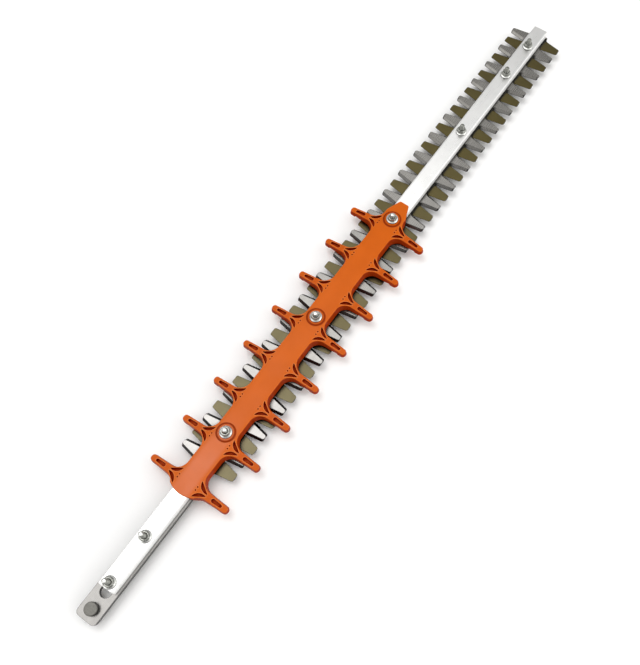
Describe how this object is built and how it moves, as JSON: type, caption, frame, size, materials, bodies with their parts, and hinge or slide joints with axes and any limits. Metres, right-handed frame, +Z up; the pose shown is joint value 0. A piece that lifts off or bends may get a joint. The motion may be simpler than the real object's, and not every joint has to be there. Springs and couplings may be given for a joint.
{
  "type": "hedge trimmer blade",
  "caption": "Double-sided hedge trimmer blade: toothed steel blades that slide against each other under a flat guide bar held by flange nuts, with an orange moulded finger guard.",
  "frame": {"origin": "bottom centre of the bounding box, on the plane of the bolt heads it lies on", "axes": "+X along the bar to its tip, +Z up from the bolt heads to the nuts, +Y across to the left seen from the drive end"},
  "size_m": [0.7768, 0.0884, 0.035],
  "materials": {
    "guide_bar": "satin drawn bar",
    "upper_blade": "bright ground steel",
    "lower_blade": "oiled steel",
    "drive_stud": "turned steel",
    "finger_guard": "satin moulded plastic",
    "bolt": "zinc plated",
    "flange_nuts": "zinc plated",
    "washers": "zinc plated",
    "guide_bush": "hardened steel"
  },
  "bodies": {
    "bar": {"guide_bar": "guide_bar", "finger_guard": "finger_guard", "shank_bolts": "bolt", "bar_bolts": "bolt", "flange_nuts": "flange_nuts", "washers": "washers", "guide_bush_1": "guide_bush", "guide_bush_2": "guide_bush", "guide_bush_3": "guide_bush", "guide_bush_4": "guide_bush", "guide_bush_5": "guide_bush", "guide_bush_6": "guide_bush", "guide_bush_7": "guide_bush", "guide_bush_8": "guide_bush"},
    "upper": {"upper_blade": "upper_blade", "upper_drive_stud": "drive_stud"},
    "lower": {"lower_blade": "lower_blade", "lower_drive_stud": "drive_stud"}
  },
  "joints": [
    {"name": "upper_blade_slide", "type": "slide", "parent": "bar", "child": "upper", "axis": [1, 0, 0], "range_m": [-0.0075, 0.0075]},
    {"name": "lower_blade_slide", "type": "slide", "parent": "bar", "child": "lower", "axis": [1, 0, 0], "range_m": [-0.0075, 0.0075]}
  ]
}
